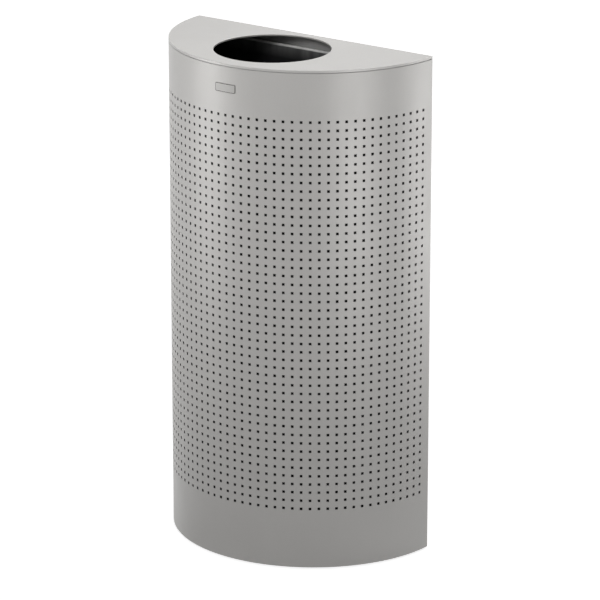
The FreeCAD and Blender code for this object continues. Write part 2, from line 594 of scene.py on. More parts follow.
@dataclass(frozen=True)
class HalfRound:
    """Plan of a half round: a front arc, a straight back and two round corners.

    Attributes:
        radius: Radius of the front arc about the axis.
        chord: How far the straight back stands in front of the axis.
        corner: Radius of the two back corners.
        arc_steps: Steps along the front arc.
        corner_steps: Steps round each corner.
        back_steps: Steps along the straight back.
        facing: Which way its outward direction points.
    """

    radius: float
    chord: float
    corner: float
    arc_steps: int = 144
    corner_steps: int = 8
    back_steps: int = 96
    facing: Facing = Facing.AWAY

    @property
    def side(self) -> float:
        """Angle from the front at which the arc meets a corner."""
        return math.acos((self.chord + self.corner) / (self.radius - self.corner))

    def arc(self, angle: float) -> Station:
        """Station of the front arc at an angle from the front, to the right."""
        nx, ny = math.sin(angle), -math.cos(angle)
        return Station(self.radius * nx, AXIS_Y + self.radius * ny, nx, ny)

    def bend(self, share: float) -> Station:
        """Station of the right back corner.

        Args:
            share: 0 where the corner meets the straight back and 1 where it meets the arc.

        Returns:
            The station.
        """
        reach = self.radius - self.corner
        angle = math.pi + (self.side - math.pi) * share
        nx, ny = math.sin(angle), -math.cos(angle)
        x = reach * math.sin(self.side) + self.corner * nx
        y = AXIS_Y - reach * math.cos(self.side) + self.corner * ny
        return Station(x, y, nx, ny)

    def stations(self) -> list[Station]:
        """Closed outline.

        Returns:
            The stations, from the right end of the back round by the front.
        """
        shares = [step / self.corner_steps for step in range(self.corner_steps)]
        turn = 2 * self.side / self.arc_steps
        right = [self.bend(share) for share in shares]
        front = [self.arc(self.side - step * turn) for step in range(self.arc_steps)]
        left = [self.bend(1 - share).mirrored() for share in shares]
        end = self.bend(0)
        gap = 2 * end.x / self.back_steps
        back = [Station(step * gap - end.x, end.y, 0, 1) for step in range(self.back_steps)]
        return right + front + left + back


@dataclass(frozen=True)
class Mouth:
    """Round opening, with one station in line with each station of the outline round it.

    Attributes:
        y: Middle of the opening.
        radius: Radius of the opening.
        around: Outline round the opening.
        facing: Which way its outward direction points.
    """

    y: float
    radius: float
    around: HalfRound
    facing: Facing = Facing.INTO

    def stations(self) -> list[Station]:
        """Circle that faces into the opening.

        Returns:
            The stations, in the order of the outline's stations.
        """
        found = []
        for place in self.around.stations():
            reach = math.hypot(place.x, place.y - self.y)
            dx, dy = place.x / reach, (place.y - self.y) / reach
            found.append(Station(self.radius * dx, self.y + self.radius * dy, -dx, -dy))
        return found


@dataclass(frozen=True)
class PlateStation:
    """Place on the plate's outline, along the wall and up it, with the outward direction there."""

    along: float
    z: float
    n_along: float
    n_z: float
    radius: float

    def point(self, inset: float, height: float) -> Place:
        """The place moved in from the outline, at a height above the wall.

        Args:
            inset: How far in from the outline.
            height: How far above the wall.

        Returns:
            The place.
        """
        angle = (self.along - self.n_along * inset) / self.radius
        reach = self.radius + height
        return (reach * math.sin(angle), AXIS_Y - reach * math.cos(angle), self.z - self.n_z * inset)

    def faced(self, out: float, up: float) -> Direction:
        """A direction on the wall.

        Args:
            out: Its part away from the middle of the plate.
            up: Its part away from the wall.

        Returns:
            The direction.
        """
        sine, cosine = math.sin(self.along / self.radius), math.cos(self.along / self.radius)
        across = out * self.n_along
        return (across * cosine + up * sine, across * sine - up * cosine, out * self.n_z)

    def turned_over(self, middle: float) -> "PlateStation":
        """The same place on the other half of the plate, below or above its middle."""
        return PlateStation(self.along, 2 * middle - self.z, self.n_along, -self.n_z, self.radius)


@dataclass(frozen=True)
class PlateOutline:
    """Outline of the front plate on the curved wall.

    Attributes:
        width: Width along the wall.
        height: Height of the plate.
        middle: Height of its middle above the floor.
        corner: Radius of its corners.
        radius: Radius of the wall under it.
        corner_steps: Steps round a corner.
        span_steps: Steps between the corners.
        facing: Which way its outward direction points.
    """

    width: float
    height: float
    middle: float
    corner: float
    radius: float
    corner_steps: int = 5
    span_steps: int = 14
    facing: Facing = Facing.AWAY

    def station(self, along: float, angle: float) -> PlateStation:
        """Station on the upper half of the outline, a corner's radius away from a middle.

        Args:
            along: Place of that middle along the wall.
            angle: Direction from that middle, counted upwards from the right.

        Returns:
            The station.
        """
        across, up = math.cos(angle), math.sin(angle)
        z = self.middle + self.height / 2 - self.corner + self.corner * up
        return PlateStation(along + self.corner * across, z, across, up, self.radius)

    def stations(self) -> list[PlateStation]:
        """Closed outline.

        Returns:
            The stations, along the upper edge to the right and back along the lower one.
        """
        half = self.width / 2 - self.corner
        quarter = math.pi / 2
        turns = [quarter * step / self.corner_steps for step in range(self.corner_steps + 1)]
        shares = [step / self.span_steps for step in range(1, self.span_steps)]
        upper = [self.station(-half, math.pi - turn) for turn in turns]
        upper += [self.station(half * (2 * share - 1), quarter) for share in shares]
        upper += [self.station(half, quarter - turn) for turn in turns]
        return upper + [place.turned_over(self.middle) for place in reversed(upper)]


Rail = HalfRound | Mouth | PlateOutline
SHELL_PLAN = HalfRound(RADIUS, 0.0, 2.0 * MM)


@dataclass(frozen=True)
class Corner:
    """Corner of a cross-section: how far in from the outline, how high, and how far it is rounded."""

    inset: float
    z: float
    rounding: float = 0.0

    def towards(self, other: "Corner", distance: float) -> "Corner":
        """The plain corner that lies a distance away from this one on the way to another."""
        share = distance / math.hypot(other.inset - self.inset, other.z - self.z)
        return Corner(self.inset + (other.inset - self.inset) * share, self.z + (other.z - self.z) * share)


@dataclass(frozen=True)
class Bead:
    """Point of a cross-section: how far in, how high, and the direction that it faces."""

    inset: float
    z: float
    out: float
    up: float


def run_facing(start: Corner, end: Corner, facing: Facing) -> tuple[float, float]:
    """Direction that a straight run of a cross-section faces.

    Args:
        start: Where the run starts.
        end: Where the run ends.
        facing: Which way the outline's outward direction points.

    Returns:
        Outward and upward part of the direction.
    """
    deeper, higher = end.inset - start.inset, end.z - start.z
    scale = facing.value / math.hypot(deeper, higher)
    return scale * higher, scale * deeper


def rounded_section(corners: list[Corner], facing: Facing, steps: int = 5) -> list[list[Bead]]:
    """Cross-section with its corners rounded.

    Args:
        corners: Corners in order. The first and the last are plain ends.
        facing: Which way the outline's outward direction points.
        steps: Steps round a corner.

    Returns:
        Straight runs and round corners in order, each a list of points.
    """
    strips = []
    start = corners[0]
    for here, after in zip(corners[1:], corners[2:] + [None]):
        out, up = run_facing(start, here, facing)
        if after is None or here.rounding == 0:
            strips.append([Bead(start.inset, start.z, out, up), Bead(here.inset, here.z, out, up)])
            start = here
            continue
        next_out, next_up = run_facing(here, after, facing)
        first = math.atan2(up, out)
        turn = math.remainder(math.atan2(next_up, next_out) - first, 2 * math.pi)
        begin = here.towards(start, here.rounding * math.tan(abs(turn) / 2))
        strips.append([Bead(start.inset, start.z, out, up), Bead(begin.inset, begin.z, out, up)])
        hollow = (after.z - here.z) * up > (after.inset - here.inset) * out
        bulge = -here.rounding if hollow else here.rounding
        middle = Corner(begin.inset + bulge * out, begin.z - bulge * up)
        angles = [first + turn * step / steps for step in range(steps + 1)]
        facings = [(math.cos(angle), math.sin(angle)) for angle in angles]
        arc = [Bead(middle.inset - bulge * o, middle.z + bulge * u, o, u) for o, u in facings]
        strips.append(arc)
        start = Corner(arc[-1].inset, arc[-1].z)
    return strips


class Skin:
    """Mesh in the making: its points, its faces and the direction that each face corner is shaded with."""

    # Rings whose inset and height agree to this many decimals are one ring.
    DECIMALS: ClassVar[int] = 7

    def __init__(self) -> None:
        """Starts with nothing drawn."""
        self.points: list[Place] = []
        self.faces: list[tuple[int, ...]] = []
        self.normals: list[Direction] = []
        self.flats: list[Spot] = []
        self.finishes: list[int] = []
        self.rings: dict[tuple[Rail, float, float], list[int]] = {}

    def point(self, place: Place) -> int:
        """Adds a point and returns its number."""
        self.points.append(place)
        return len(self.points) - 1

    def face(
        self, corners: list[int], normals: list[Direction], flats: Sequence[Spot] = (), finish: int = 0
    ) -> None:
        """Adds a face.

        Args:
            corners: Numbers of its points, counter-clockwise as seen from outside.
            normals: Direction that each corner is shaded with.
            flats: Place of each corner on the flat pattern, where the piece has one.
            finish: Number of the face's finish in the piece's list.
        """
        self.faces.append(tuple(corners))
        self.normals.extend(normals)
        self.flats.extend(flats)
        self.finishes.append(finish)

    def ring(self, rail: Rail, inset: float, z: float) -> list[int]:
        """Points of a rail at one inset and height, made once.

        Args:
            rail: Outline to follow.
            inset: How far in from it.
            z: How high.

        Returns:
            Numbers of the points, in the rail's order.
        """
        key = (rail, round(inset, self.DECIMALS), round(z, self.DECIMALS))
        if key not in self.rings:
            self.rings[key] = [self.point(station.point(inset, z)) for station in rail.stations()]
        return self.rings[key]

    def band(
        self,
        first: list[int],
        second: list[int],
        first_normals: list[Direction],
        second_normals: list[Direction],
        finish: int = 0,
    ) -> None:
        """Joins two closed rings with one face to each step.

        Args:
            first: Points of the ring that comes first in the cross-section.
            second: Points of the next ring.
            first_normals: Directions along the first ring.
            second_normals: Directions along the second ring.
            finish: Number of the faces' finish in the piece's list.
        """
        for here in range(len(first)):
            after = (here + 1) % len(first)
            corners = [first[here], first[after], second[after], second[here]]
            normals = [first_normals[here], first_normals[after], second_normals[after], second_normals[here]]
            self.face(corners, normals, finish=finish)

    def sweep(self, rail: Rail, corners: list[Corner], finish: int = 0) -> tuple[list[int], list[int]]:
        """Draws a cross-section all the way round a rail.

        Args:
            rail: Outline to follow.
            corners: Corners of the cross-section.
            finish: Number of the faces' finish in the piece's list.

        Returns:
            The first and the last ring.
        """
        stations = rail.stations()
        strips = rounded_section(corners, rail.facing)
        for strip in strips:
            for here, after in zip(strip, strip[1:]):
                self.band(
                    self.ring(rail, here.inset, here.z),
                    self.ring(rail, after.inset, after.z),
                    [station.faced(here.out, here.up) for station in stations],
                    [station.faced(after.out, after.up) for station in stations],
                    finish,
                )
        first, last = strips[0][0], strips[-1][-1]
        return self.ring(rail, first.inset, first.z), self.ring(rail, last.inset, last.z)

    def bridge(self, first: list[int], second: list[int], up: float) -> None:
        """Joins two rings of one height with flat faces that look up or down."""
        level = [(0.0, 0.0, up)] * len(first)
        self.band(first, second, level, level)

    def close(self, ring: list[int], up: float) -> None:
        """Closes a ring with one flat face that looks up or down."""
        corners = ring if up < 0 else ring[::-1]
        self.face(corners, [(0.0, 0.0, up)] * len(ring))

    def piece(self, name: str) -> bpy.types.Object:
        """Makes the object.

        Args:
            name: Name of the piece.

        Returns:
            The new object, linked to the scene and not yet dressed.
        """
        mesh = bpy.data.meshes.new(name)
        mesh.from_pydata(self.points, [], self.faces, shade_flat=False)
        if self.flats:
            pattern = mesh.uv_layers.new(name="OFBake")
            pattern.data.foreach_set("uv", [number for flat in self.flats for number in flat])
        mesh.normals_split_custom_set(self.normals)
        mesh.polygons.foreach_set("material_index", self.finishes)
        made = bpy.data.objects.new(name, mesh)
        bpy.context.scene.collection.objects.link(made)
        return made


class Part(ABC):
    """Modelled piece that stands for a node of the frame.

    Attributes:
        name: Name of the piece.
        node: Node that it stands for.
        body: Body that it rides on.
        slot: Material slot of the record.
    """

    name: ClassVar[str]
    node: ClassVar[str]
    body: ClassVar[Body]
    slot: ClassVar[Slot]

    @abstractmethod
    def build(self) -> bpy.types.Object:
        """Builds the piece's mesh."""

    @abstractmethod
    def finishes(self) -> tuple[Finish, ...]:
        """Finishes of the piece, in the order in which its faces number them."""

    def dress(self, piece: bpy.types.Object) -> None:
        """Gives the piece its finishes."""
        for finish in self.finishes():
            piece.data.materials.append(finish.material())

    def seat(self, piece: bpy.types.Object) -> None:
        """Ties the piece to its body and the node that it stands for.

        Args:
            piece: The piece that was built.
        """
        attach(piece, self.body.value)
        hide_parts(self.node)


@dataclass(frozen=True)
class Trace:
    """Place along the sheet's path: its station, and how far it lies from the front along the sheet."""

    station: Station
    along: float


class SheetGrid:
    """Points on one face of the perforated sheet, or just under it, made when they are first asked for."""

    def __init__(self, skin: Skin, path: list[Trace], levels: list[float], inset: float) -> None:
        """Keeps what the grid is made from.

        Args:
            skin: Mesh that the points go into.
            path: Places along the sheet.
            levels: Heights from the bottom up.
            inset: Depth below the outside of the sheet.
        """
        self.skin = skin
        self.path = path
        self.levels = levels
        self.inset = inset
        self.numbers: dict[tuple[int, int], int] = {}

    def number(self, step: int, level: int) -> int:
        """Number of a point.

        Args:
            step: Step of the path.
            level: Level of the grid.

        Returns:
            The number of the point in the mesh.
        """
        if (step, level) not in self.numbers:
            place = self.path[step].station.point(self.inset, self.levels[level])
            self.numbers[step, level] = self.skin.point(place)
        return self.numbers[step, level]

    def faced(self, step: int, out: float, up: float) -> Direction:
        """Direction at a step of the path, given by its outward and its upward part."""
        return self.path[step].station.faced(out, up)

    def spot(self, step: int, level: int) -> Spot:
        """Distance along the sheet, and height."""
        return self.path[step].along, self.levels[level]


@dataclass(frozen=True)
class EdgeLine:
    """Line along an upper or a lower edge of the sheet, with the direction that it faces."""

    grid: SheetGrid
    level: int
    out: float
    up: float

    def spot(self, step: int) -> Spot:
        """Place on the sheet, as if its thickness were folded out flat.

        Args:
            step: Step of the path.

        Returns:
            Distance along the sheet, and height.
        """
        along, z = self.grid.spot(step, self.level)
        lift = self.grid.inset if z > TOP / 2 else -self.grid.inset
        return along, z + lift


def centre(spots: Sequence[Spot]) -> Spot:
    """Middle of some places on the sheet."""
    return sum(along for along, z in spots) / len(spots), sum(z for along, z in spots) / len(spots)


@dataclass
class PerforatedFront(Part):
    """Rolled and punched sheet with a narrow return, spot-welded to the back panel, at each back corner.

    Attributes:
        plan: Outside of the sheet in plan.
        return_width: Width of a return.
        hole: Side of a square hole.
        column_pitch: Distance between columns along the arc.
        row_pitch: Distance between rows.
        side_margin: Least distance from a column to a back corner.
        lowest_row: Height of the lowest row.
        top_band: Least height of the plain band above the rows.
        roll: Rolled-over edge of a hole on the punch side.
        edge_break: Broken edge at the top and the bottom of the sheet.
        lead_steps: Steps of the arc between a corner and the first column.
        weld_every: A weld lies between every so many rows.
        weld_radius: Radius of a weld's dimple.
        weld_floor: Radius of the dimple's flat floor.
        weld_depth: Depth of the dimple.
        weld_steps: Steps of the dimple to each side of its cell.
        pattern_edge: Bare edge of the flat pattern, as a share of the pattern's side.
        deep_share: Share of a hole's side on the flat pattern that its four walls leave free.
    """

    name = "perforated_sheet"
    node = "perforated_front"
    body = Body.SHELL
    slot = Slot.SHELL

    plan: HalfRound = SHELL_PLAN
    return_width: float = 16.0 * MM
    hole: float = 4.2 * MM
    column_pitch: float = 14.0 * MM
    row_pitch: float = 13.68 * MM
    side_margin: float = 15.0 * MM
    lowest_row: float = 102.0 * MM
    top_band: float = 76.0 * MM
    roll: float = 0.12 * MM
    edge_break: float = 0.25 * MM
    lead_steps: int = 3
    weld_every: int = 6
    weld_radius: float = 3.0 * MM
    weld_floor: float = 1.8 * MM
    weld_depth: float = 0.25 * MM
    weld_steps: int = 6
    pattern_edge: float = 0.01
    deep_share: float = 0.35

    def __post_init__(self) -> None:
        """Works out the grid of holes and the sheet's ends."""
        low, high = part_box(self.node)
        self.bottom, self.top = low.z, high.z
        self.columns = int((RADIUS * math.pi / 2 - self.side_margin) / self.column_pitch)
        self.rows = int((TOP - self.top_band - self.lowest_row) / self.row_pitch) + 1
        self.first_column = 1 + self.plan.corner_steps + self.lead_steps
        self.skin = Skin()
        narrow = self.hole / 2
        wide = narrow + self.roll
        self.reach = self.path(narrow)[0].along
        self.outside = SheetGrid(self.skin, self.path(wide), self.levels(wide), 0.0)
        self.throat = SheetGrid(self.skin, self.path(narrow), self.levels(narrow), self.roll)
        self.inside = SheetGrid(self.skin, self.path(narrow), self.levels(narrow), SHEET)
        self.last_step = len(self.outside.path) - 1
        self.last_level = len(self.outside.levels) - 1

    def finishes(self) -> tuple[Finish, ...]:
        """Paint on the sheet, and the near-black walls of the holes, which are painted shade."""
        return SHELL_PAINT, HOLE_SHADE_AND_LINE_FILL

    def path(self, half: float) -> list[Trace]:
        """Sheet's path in plan, from the end of the right return to the end of the left one.

        Args:
            half: Half of the side of the holes whose edges the path marks.

        Returns:
            The places in order, two for each column of holes.
        """
        side = self.plan.side
        bend_length = self.plan.corner * (math.pi - side)
        straight = self.return_width - (RADIUS - self.plan.bend(0).x)
        end = Station(RADIUS - self.return_width, AXIS_Y, 0, 1)
        right = [Trace(end, RADIUS * side + bend_length + straight)]
        for step in range(self.plan.corner_steps):
            share = step / self.plan.corner_steps
            right.append(Trace(self.plan.bend(share), RADIUS * side + bend_length * (1 - share)))
        outermost = (self.columns * self.column_pitch + half) / RADIUS
        for step in range(self.lead_steps):
            angle = side + (outermost - side) * step / self.lead_steps
            right.append(Trace(self.plan.arc(angle), RADIUS * angle))
        for column in range(self.columns, 0, -1):
            for along in (column * self.column_pitch + half, column * self.column_pitch - half):
                right.append(Trace(self.plan.arc(along / RADIUS), along))
        right.append(Trace(self.plan.arc(half / RADIUS), half))
        return right + [Trace(trace.station.mirrored(), -trace.along) for trace in reversed(right)]

    def levels(self, half: float) -> list[float]:
        """Heights of the sheet's grid, two for each row of holes.

        Args:
            half: Half of the side of the holes whose edges the heights mark.

        Returns:
            The heights from the bottom up.
        """
        middles = [self.lowest_row + row * self.row_pitch for row in range(self.rows)]
        edges = [middle + edge for middle in middles for edge in (-half, half)]
        return [self.bottom + self.edge_break, *edges, self.top - self.edge_break]

    def flat(self, spot: Spot, inside: bool = False) -> Spot:
        """Place on the flat pattern, where the inside of the sheet lies beside the outside.

        Args:
            spot: Distance along the sheet, and height.
            inside: Whether the place is on the inside.

        Returns:
            Place across and up the pattern, each from 0 to 1.
        """
        along, z = spot
        quarter = 0.25
        middle = 3 * quarter if inside else quarter
        across = middle - (quarter - self.pattern_edge) * along / self.reach
        rise = (z - self.bottom) / (self.top - self.bottom)
        return across, self.pattern_edge + (1 - 2 * self.pattern_edge) * rise

    def is_hole(self, step: int, level: int) -> bool:
        """Whether the cell that starts at a step and a level is one of the holes."""
        in_column = step in range(self.first_column, self.last_step - self.first_column, 2)
        return in_column and level in range(1, self.last_level, 2)

    def is_weld(self, step: int, level: int) -> bool:
        """Whether the cell that starts at a step and a level is on a return and holds a weld."""
        # Rows of holes start at odd levels, and the cells between two rows at even ones.
        weld_levels = range(2 * (self.weld_every // 2) + 2, self.last_level - 1, 2 * self.weld_every)
        return step in (0, self.last_step - 1) and level in weld_levels

    def build(self) -> bpy.types.Object:
        """Builds the sheet with all its holes.

        Returns:
            The new piece.
        """
        for step in range(self.last_step):
            for level in range(self.last_level):
                cell = [(step, level + 1), (step + 1, level + 1), (step + 1, level), (step, level)]
                if self.is_hole(step, level):
                    self.punch(cell)
                    continue
                self.plain(cell, self.inside, inside=True)
                if self.is_weld(step, level):
                    self.weld(cell)
                else:
                    self.plain(cell, self.outside)
        self.trim_edges()
        return self.skin.piece(self.name)

    def plain(self, cell: Cell, grid: SheetGrid, inside: bool = False) -> None:
        """Draws one plain cell of the outside or of the inside.

        Args:
            cell: Step and level of each corner.
            grid: Points of that side.
            inside: Whether it is the inside.
        """
        corners = cell[::-1] if inside else cell
        out = -1.0 if inside else 1.0
        self.skin.face(
            [grid.number(*corner) for corner in corners],
            [grid.faced(step, out, 0.0) for step, level in corners],
            [self.flat(grid.spot(*corner), inside) for corner in corners],
        )

    def punch(self, cell: Cell) -> None:
        """Draws one hole: its rolled-over edge and its four walls.

        Args:
            cell: Step and level of each corner.
        """
        first, second = (self.throat.path[step].station for step, level in cell[:2])
        along = Vector((second.x - first.x, second.y - first.y, 0)).normalized()
        facings = [(0, 0, -1), tuple(-along), (0, 0, 1), tuple(along)]
        spots = [self.throat.spot(*corner) for corner in cell]
        middle = centre(spots)
        deep = [tuple(m + self.deep_share * (part - m) for part, m in zip(spot, middle)) for spot in spots]
        for side, facing in enumerate(facings):
            ends = (side, (side + 1) % len(cell))
            near, far = (cell[end] for end in ends)
            upper = [self.outside.number(*near), self.outside.number(*far)]
            lower = [self.throat.number(*far), self.throat.number(*near)]
            below = [self.inside.number(*far), self.inside.number(*near)]
            edge = [self.flat(self.outside.spot(*corner)) for corner in (near, far)]
            throat = [self.flat(spots[end]) for end in ends]
            floor = [self.flat(deep[end]) for end in ends]
            rolled = [self.outside.faced(step, 1.0, 0.0) for step, level in (near, far)] + [facing, facing]
            self.skin.face(upper + lower, rolled, edge + throat[::-1])
            # The hole walls take the second, near-black finish: painted shade.
            self.skin.face(lower[::-1] + below, [facing] * 4, throat + floor[::-1], finish=1)

    def weld_angles(self) -> list[float]:
        """Angles of the points of a weld's dimple, clockwise from the upper left as seen from the front."""
        count = 4 * self.weld_steps
        return [math.pi * (0.75 - 2 * step / count) for step in range(count)]

    def weld_ring(self, cell: Cell, radius: float, depth: float) -> tuple[list[int], list[Spot]]:
        """Draws the points of one ring of a weld's dimple.

        Args:
            cell: Step and level of each corner of the dimple's cell.
            radius: Radius of the ring.
            depth: Depth of the ring below the return.

        Returns:
            Numbers of the points, and their places on the flat pattern.
        """
        corners = [Vector(self.skin.points[self.outside.number(*corner)]) for corner in cell]
        middle = sum(corners, Vector()) / len(corners)
        along, z = centre([self.outside.spot(*corner) for corner in cell])
        numbers, pattern = [], []
        for angle in self.weld_angles():
            dx, dz = radius * math.cos(angle), radius * math.sin(angle)
            numbers.append(self.skin.point((middle.x + dx, middle.y - depth, middle.z + dz)))
            pattern.append(self.flat((along - dx, z + dz)))
        return numbers, pattern

    def weld(self, cell: Cell) -> None:
        """Draws the shallow dimple of one spot weld in a flat cell of a return.

        Args:
            cell: Step and level of each corner.
        """
        rim, rim_pattern = self.weld_ring(cell, self.weld_radius, 0.0)
        floor, floor_pattern = self.weld_ring(cell, self.weld_floor, self.weld_depth)
        level = (0.0, 1.0, 0.0)
        for side in range(len(cell)):
            ends = (cell[side], cell[(side + 1) % len(cell)])
            start = side * self.weld_steps
            reach = [(start + step) % len(rim) for step in range(self.weld_steps, -1, -1)]
            self.skin.face(
                [self.outside.number(*end) for end in ends] + [rim[i] for i in reach],
                [level] * (len(ends) + len(reach)),
                [self.flat(self.outside.spot(*end)) for end in ends] + [rim_pattern[i] for i in reach],
            )
        slope = math.atan2(self.weld_depth, self.weld_radius - self.weld_floor)
        lean, rise = math.sin(slope), math.cos(slope)
        tilts = [(-math.cos(angle) * lean, rise, -math.sin(angle) * lean) for angle in self.weld_angles()]
        for here in range(len(rim)):
            after = (here + 1) % len(rim)
            self.skin.face(
                [rim[here], rim[after], floor[after], floor[here]],
                [tilts[i] for i in (here, after, after, here)],
                [rim_pattern[here], rim_pattern[after], floor_pattern[after], floor_pattern[here]],
            )
        self.skin.face(floor, [level] * len(floor), floor_pattern)

    def trim_edges(self) -> None:
        """Draws the sheet's thickness along its top, its bottom and the ends of its returns."""
        near, far = self.edge_break, SHEET - self.edge_break
        ends = (self.bottom, self.top)
        low_out, top_out = (SheetGrid(self.skin, self.outside.path, [z], near) for z in ends)
        low_in, top_in = (SheetGrid(self.skin, self.inside.path, [z], far) for z in ends)
        top_edge = [
            EdgeLine(self.inside, self.last_level, -1.0, 0.0),
            EdgeLine(top_in, 0, 0.0, 1.0),
            EdgeLine(top_out, 0, 0.0, 1.0),
            EdgeLine(self.outside, self.last_level, 1.0, 0.0),
        ]
        low_edge = [
            EdgeLine(self.outside, 0, 1.0, 0.0),
            EdgeLine(low_out, 0, 0.0, -1.0),
            EdgeLine(low_in, 0, 0.0, -1.0),
            EdgeLine(self.inside, 0, -1.0, 0.0),
        ]
        self.edge_bands(top_edge)
        self.edge_bands(low_edge)
        levels = range(self.last_level + 1)
        outer = [(low_out, 0), *((self.outside, level) for level in levels), (top_out, 0)]
        inner = [(low_in, 0), *((self.inside, level) for level in levels), (top_in, 0)]
        for here in range(len(outer) - 1):
            strip = [outer[here], outer[here + 1], inner[here + 1], inner[here]]
            self.end_face(strip[::-1], 0, -1.0)
            self.end_face(strip, self.last_step, 1.0)

    def edge_bands(self, edge: list[EdgeLine]) -> None:
        """Draws the bands of one edge along the whole sheet.

        Args:
            edge: Lines of the edge in order.
        """
        for here, after in zip(edge, edge[1:]):
            for step in range(self.last_step):
                corners = [(here, step), (here, step + 1), (after, step + 1), (after, step)]
                self.skin.face(
                    [line.grid.number(place, line.level) for line, place in corners],
                    [line.grid.faced(place, line.out, line.up) for line, place in corners],
                    [self.flat(line.spot(place)) for line, place in corners],
                )

    def end_face(self, corners: list[tuple[SheetGrid, int]], step: int, across: float) -> None:
        """Draws one face of the end of a return.

        Args:
            corners: Grid and level of each corner.
            step: Step of the path at that end.
            across: 1 for an end that faces to the right and -1 for one that faces to the left.
        """
        pattern = []
        for grid, level in corners:
            along, z = grid.spot(step, level)
            pattern.append(self.flat((along - across * grid.inset, z)))
        numbers = [grid.number(step, level) for grid, level in corners]
        self.skin.face(numbers, [(across, 0.0, 0.0)] * len(corners), pattern)


@dataclass
class Lid(Part):
    """Flat lid with a short turned-down edge and a round opening with a turned edge.

    Attributes:
        plan: Outside of the lid in plan.
        opening_diameter: Diameter of the opening.
        opening_setback: Distance from the flat back to the middle of the opening.
        hem: Depth of the opening's turned edge.
        edge_round: Outer rounding of the turned-down edge.
        mouth_round: Rounding of the opening's upper edge.
        lip_round: Rounding of the lower edges.
        margin: How far the flat of the lid keeps from its outline.
        mouth_margin: How far the flat of the lid keeps from the opening.
    """

    name = "lid_panel"
    node = "lid"
    body = Body.LID
    slot = Slot.LID

    plan: HalfRound = SHELL_PLAN
    opening_diameter: float = 184.0 * MM
    opening_setback: float = 108.0 * MM
    hem: float = 2.6 * MM
    edge_round: float = 0.6 * MM
    mouth_round: float = 0.5 * MM
    lip_round: float = 0.3 * MM
    margin: float = 1.9 * MM
    mouth_margin: float = 2.5 * MM

    @property
    def mouth(self) -> Mouth:
        """The opening in plan."""
        return Mouth(AXIS_Y - self.opening_setback, self.opening_diameter / 2, self.plan)

    def finishes(self) -> tuple[Finish, ...]:
        """The shell's paint, rubbed along the front edge and round the opening."""
        rubbed = (RubbedEdge(0.0, AXIS_Y, RADIUS), RubbedEdge(0.0, self.mouth.y, self.mouth.radius))
        return (SilverPaint("lid_silver", SILVER, SATIN, rubbed=rubbed),)

    def build(self) -> bpy.types.Object:
        """Builds the lid.

        Returns:
            The new piece.
        """
        skin = Skin()
        bottom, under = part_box(self.node)[0].z, TOP - SHEET
        hem_bottom = TOP - self.hem
        edge = [
            Corner(self.margin, TOP),
            Corner(0.0, TOP, self.edge_round),
            Corner(0.0, bottom, self.lip_round),
            Corner(SHEET, bottom, self.lip_round),
            Corner(SHEET, under, self.lip_round),
            Corner(self.margin, under),
        ]
        turned = [
            Corner(self.mouth_margin, under),
            Corner(SHEET, under, self.lip_round),
            Corner(SHEET, hem_bottom, self.lip_round),
            Corner(0.0, hem_bottom, self.lip_round),
            Corner(0.0, TOP, self.mouth_round),
            Corner(self.mouth_margin, TOP),
        ]
        edge_first, edge_last = skin.sweep(self.plan, edge)
        mouth_first, mouth_last = skin.sweep(self.mouth, turned)
        skin.bridge(edge_last, mouth_first, -1.0)
        skin.bridge(mouth_last, edge_first, 1.0)
        return skin.piece(self.name)


@dataclass
class Liner(Part):
    """Plastic tub with an inverted-U rim, standing on a ring round its raised floor.

    Attributes:
        plan: Outside of the rim in plan.
        wall: Thickness of the tub's wall.
        overhang: How far the rim stands out from the tub.
        rim_depth: Height of the rim.
        rim_wall: Thickness of the rim.
        ring_width: Width of the ring that the tub stands on.
        ring_depth: How far the floor is raised inside the ring.
        soft: Usual rounding of a moulded edge.
        foot_round: Rounding of the tub's lower edge.
        crown_round: Rounding of the rim's inner upper edge.
    """

    name = "liner_tub"
    node = "liner"
    body = Body.LINER
    slot = Slot.LINER

    plan: HalfRound = HalfRound(216.1 * MM, 13.0 * MM, 31.0 * MM)
    wall: float = 2.5 * MM
    overhang: float = 5.0 * MM
    rim_depth: float = 11.0 * MM
    rim_wall: float = 2.2 * MM
    ring_width: float = 14.0 * MM
    ring_depth: float = 6.0 * MM
    soft: float = 1.2 * MM
    foot_round: float = 5.0 * MM
    crown_round: float = 3.2 * MM

    def finishes(self) -> tuple[Finish, ...]:
        """Black plastic, worn smoother along the rim, with a painted highlight on its crown and painted light
        just under it.
        """
        return (MouldedPlastic("liner_black", (0.012, 0.012, 0.013), 0.36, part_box(self.node)[1].z),)

    def build(self) -> bpy.types.Object:
        """Builds the liner.

        Returns:
            The new piece.
        """
        skin = Skin()
        low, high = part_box(self.node)
        bottom, top = low.z, high.z
        rim_bottom, groove_top = top - self.rim_depth, top - self.rim_wall
        lip_round = self.rim_wall / 3
        inside, recess = self.overhang + self.wall, self.overhang + self.ring_width
        crown, middle = inside / 2, recess + self.foot_round
        floor, ceiling = bottom + self.wall, bottom + self.ring_depth
        raised = floor + self.ring_depth
        outer = [
            Corner(crown, top),
            Corner(0.0, top, self.rim_wall),
            Corner(0.0, rim_bottom, lip_round),
            Corner(self.rim_wall, rim_bottom, lip_round),
            Corner(self.rim_wall, groove_top, self.soft),
            Corner(self.overhang, groove_top, self.soft),
            Corner(self.overhang, bottom, self.foot_round),
            Corner(recess, bottom, self.soft),
            Corner(recess, ceiling, self.soft),
            Corner(middle, ceiling),
        ]
        inner = [
            Corner(middle, raised),
            Corner(recess - self.wall, raised, self.soft),
            Corner(recess - self.wall, floor, self.soft),
            Corner(inside, floor, self.foot_round - self.wall),
            Corner(inside, top, self.crown_round),
            Corner(crown, top),
        ]
        skin.close(skin.sweep(self.plan, outer)[1], -1.0)
        skin.close(skin.sweep(self.plan, inner)[0], 1.0)
        return skin.piece(self.name)


